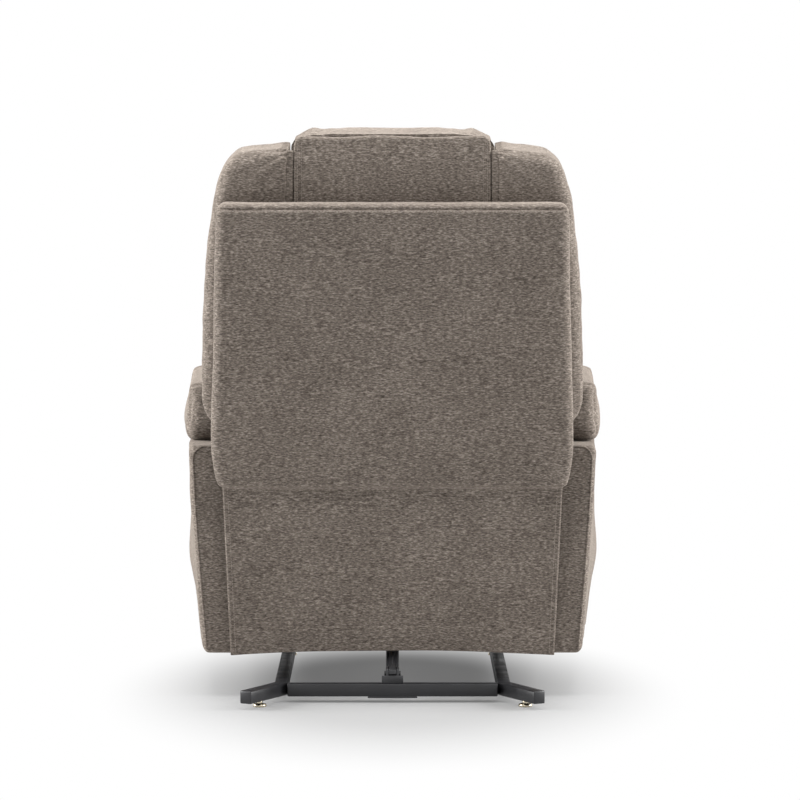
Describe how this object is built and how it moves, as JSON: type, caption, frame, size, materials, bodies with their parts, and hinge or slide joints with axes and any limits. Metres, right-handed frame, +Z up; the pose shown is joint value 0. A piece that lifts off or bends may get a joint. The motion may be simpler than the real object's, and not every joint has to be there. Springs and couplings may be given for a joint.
{
  "type": "lift recliner chair",
  "caption": "Padded armchair on a steel lift base that raises and tilts it, with a reclining back and a swing-out footrest.",
  "frame": {"origin": "on the floor, under the middle of the object's box at rest", "axes": "+Z up, the sitter looks along -Y, +X on the sitter's left"},
  "size_m": [0.8724, 0.9391, 1.1286],
  "materials": {
    "chenille": "heathered taupe chenille weave",
    "black_steel": "satin black powder coat",
    "nickel": "nickel plate",
    "plywood": "raw",
    "zinc": "zinc plate",
    "abs": "fine grain",
    "button_grey": "satin"
  },
  "bodies": {
    "base": {"floor_rail_left": "black_steel", "floor_rail_right": "black_steel", "rear_crossbar": "black_steel", "front_crossbar": "black_steel", "pivot_bracket_left": "black_steel", "pivot_bracket_right": "black_steel", "glide_rear_left": "nickel", "glide_rear_right": "nickel", "glide_front_left": "nickel", "glide_front_right": "nickel"},
    "lift_arm": {"lift_arm_left": "black_steel", "lift_arm_right": "black_steel", "lift_crank_shaft": "black_steel"},
    "front_link": {"front_link_left": "black_steel", "front_link_right": "black_steel"},
    "lift_rod": {"lift_actuator_rod": "zinc"},
    "lift_motor": {"lift_actuator_housing": "abs"},
    "chair": {"side_panel_left": "chenille", "side_panel_right": "chenille", "arm_pad_left": "chenille", "arm_pad_right": "chenille", "lift_plate_left": "black_steel", "lift_plate_right": "black_steel", "front_rail": "plywood", "rear_rail": "plywood", "skirt_rail": "plywood", "seat_spring_1": "zinc", "seat_spring_2": "zinc", "seat_spring_3": "zinc", "seat_cushion": "chenille", "back_skirt": "chenille", "actuator_cross_tube": "black_steel", "footrest_motor_clevis": "black_steel", "control_box": "abs", "control_panel": "abs", "back_hinge_left": "black_steel", "back_hinge_right": "black_steel"},
    "back": {"back_frame": "black_steel", "outside_back": "chenille", "back_wing_left": "chenille", "back_wing_right": "chenille", "head_pillow": "chenille", "head_pillow_flap": "chenille", "middle_pillow": "chenille", "lumbar_pillow": "chenille"},
    "recline_motor": {"recline_actuator_housing": "abs"},
    "recline_rod": {"recline_actuator_rod": "zinc"},
    "foot_arm": {"footrest_torque_tube": "black_steel", "footrest_arm_left": "zinc", "footrest_arm_right": "zinc"},
    "foot_link": {"footrest_link_left": "zinc", "footrest_link_right": "zinc"},
    "footrest": {"footrest_board": "plywood", "footrest_pad": "chenille"},
    "foot_motor": {"footrest_actuator_housing": "abs"},
    "foot_rod": {"footrest_actuator_rod": "zinc"},
    "raise_key": {"raise_button": "button_grey"},
    "lower_key": {"lower_button": "button_grey"},
    "recline_key": {"recline_button": "button_grey"},
    "sit_up_key": {"sit_up_button": "button_grey"}
  },
  "joints": [
    {"name": "lift", "type": "hinge", "parent": "base", "child": "lift_arm", "pos_m": [0, -0.22, 0.1], "axis": [1, 0, 0], "range_deg": [0, 50]},
    {"name": "chair_tilt", "type": "hinge", "parent": "lift_arm", "child": "chair", "pos_m": [0, 0.126, 0.15], "axis": [1, 0, 0], "range_deg": [-22.2, 0]},
    {"name": "front_link_swing", "type": "hinge", "parent": "base", "child": "front_link", "pos_m": [0, -0.278, 0.087], "axis": [1, 0, 0], "range_deg": [0, 62.5]},
    {"name": "lift_rod_swing", "type": "hinge", "parent": "base", "child": "lift_rod", "pos_m": [0, 0.345, 0.055], "axis": [1, 0, 0], "range_deg": [0, 1.6]},
    {"name": "lift_extend", "type": "slide", "parent": "lift_rod", "child": "lift_motor", "axis": [0, -0.9587, 0.2845], "range_m": [0, 0.101]},
    {"name": "recline", "type": "hinge", "parent": "chair", "child": "back", "pos_m": [0, 0.215, 0.4], "axis": [-1, 0, 0], "range_deg": [0, 38], "deforming": ["back_skirt"]},
    {"name": "recline_motor_swing", "type": "hinge", "parent": "chair", "child": "recline_motor", "pos_m": [-0.08, -0.15, 0.3], "axis": [1, 0, 0], "range_deg": [-0.85, 0]},
    {"name": "recline_extend", "type": "slide", "parent": "recline_motor", "child": "recline_rod", "axis": [0, 0.9999, -0.01], "range_m": [-0.072, 0]},
    {"name": "footrest_swing", "type": "hinge", "parent": "chair", "child": "foot_arm", "pos_m": [0, -0.335, 0.33], "axis": [-1, 0, 0], "range_deg": [0, 83]},
    {"name": "footrest_link_swing", "type": "hinge", "parent": "foot_arm", "child": "foot_link", "pos_m": [0, -0.35511, 0.16623], "axis": [-1, 0, 0], "range_deg": [-166.1, 0]},
    {"name": "footrest_turn", "type": "hinge", "parent": "foot_link", "child": "footrest", "pos_m": [0, -0.37522, 0.33], "axis": [-1, 0, 0], "range_deg": [0, 173.1]},
    {"name": "footrest_motor_swing", "type": "hinge", "parent": "chair", "child": "foot_motor", "pos_m": [0.08, 0.1175, 0.3], "axis": [1, 0, 0], "range_deg": [0, 1.3]},
    {"name": "footrest_extend", "type": "slide", "parent": "foot_motor", "child": "foot_rod", "axis": [0, -1, -0.0056], "range_m": [0, 0.0595]},
    {"name": "raise_press", "type": "slide", "parent": "chair", "child": "raise_key", "axis": [1, 0, 0], "range_m": [0, 0.0015], "stiffness_N_per_m": 400, "springref_m": -0.0008},
    {"name": "lower_press", "type": "slide", "parent": "chair", "child": "lower_key", "axis": [1, 0, 0], "range_m": [0, 0.0015], "stiffness_N_per_m": 400, "springref_m": -0.0008},
    {"name": "recline_press", "type": "slide", "parent": "chair", "child": "recline_key", "axis": [1, 0, 0], "range_m": [0, 0.0015], "stiffness_N_per_m": 400, "springref_m": -0.0008},
    {"name": "sit_up_press", "type": "slide", "parent": "chair", "child": "sit_up_key", "axis": [1, 0, 0], "range_m": [0, 0.0015], "stiffness_N_per_m": 400, "springref_m": -0.0008}
  ],
  "couplings": [
    {"joint": "chair_tilt", "follows": "lift", "ratio": -0.443},
    {"joint": "front_link_swing", "follows": "lift", "ratio": 1.2488},
    {"joint": "lift_rod_swing", "follows": "lift", "ratio": 0.0302},
    {"joint": "lift_extend", "follows": "lift", "m_per_rad": 0.1153},
    {"joint": "recline_motor_swing", "follows": "recline", "ratio": -0.0213},
    {"joint": "recline_extend", "follows": "recline", "m_per_rad": -0.1078},
    {"joint": "footrest_link_swing", "follows": "footrest_swing", "ratio": -2},
    {"joint": "footrest_turn", "follows": "footrest_swing", "ratio": 2.084},
    {"joint": "footrest_motor_swing", "follows": "footrest_swing", "ratio": 0.0147},
    {"joint": "footrest_extend", "follows": "footrest_swing", "m_per_rad": 0.0408}
  ]
}
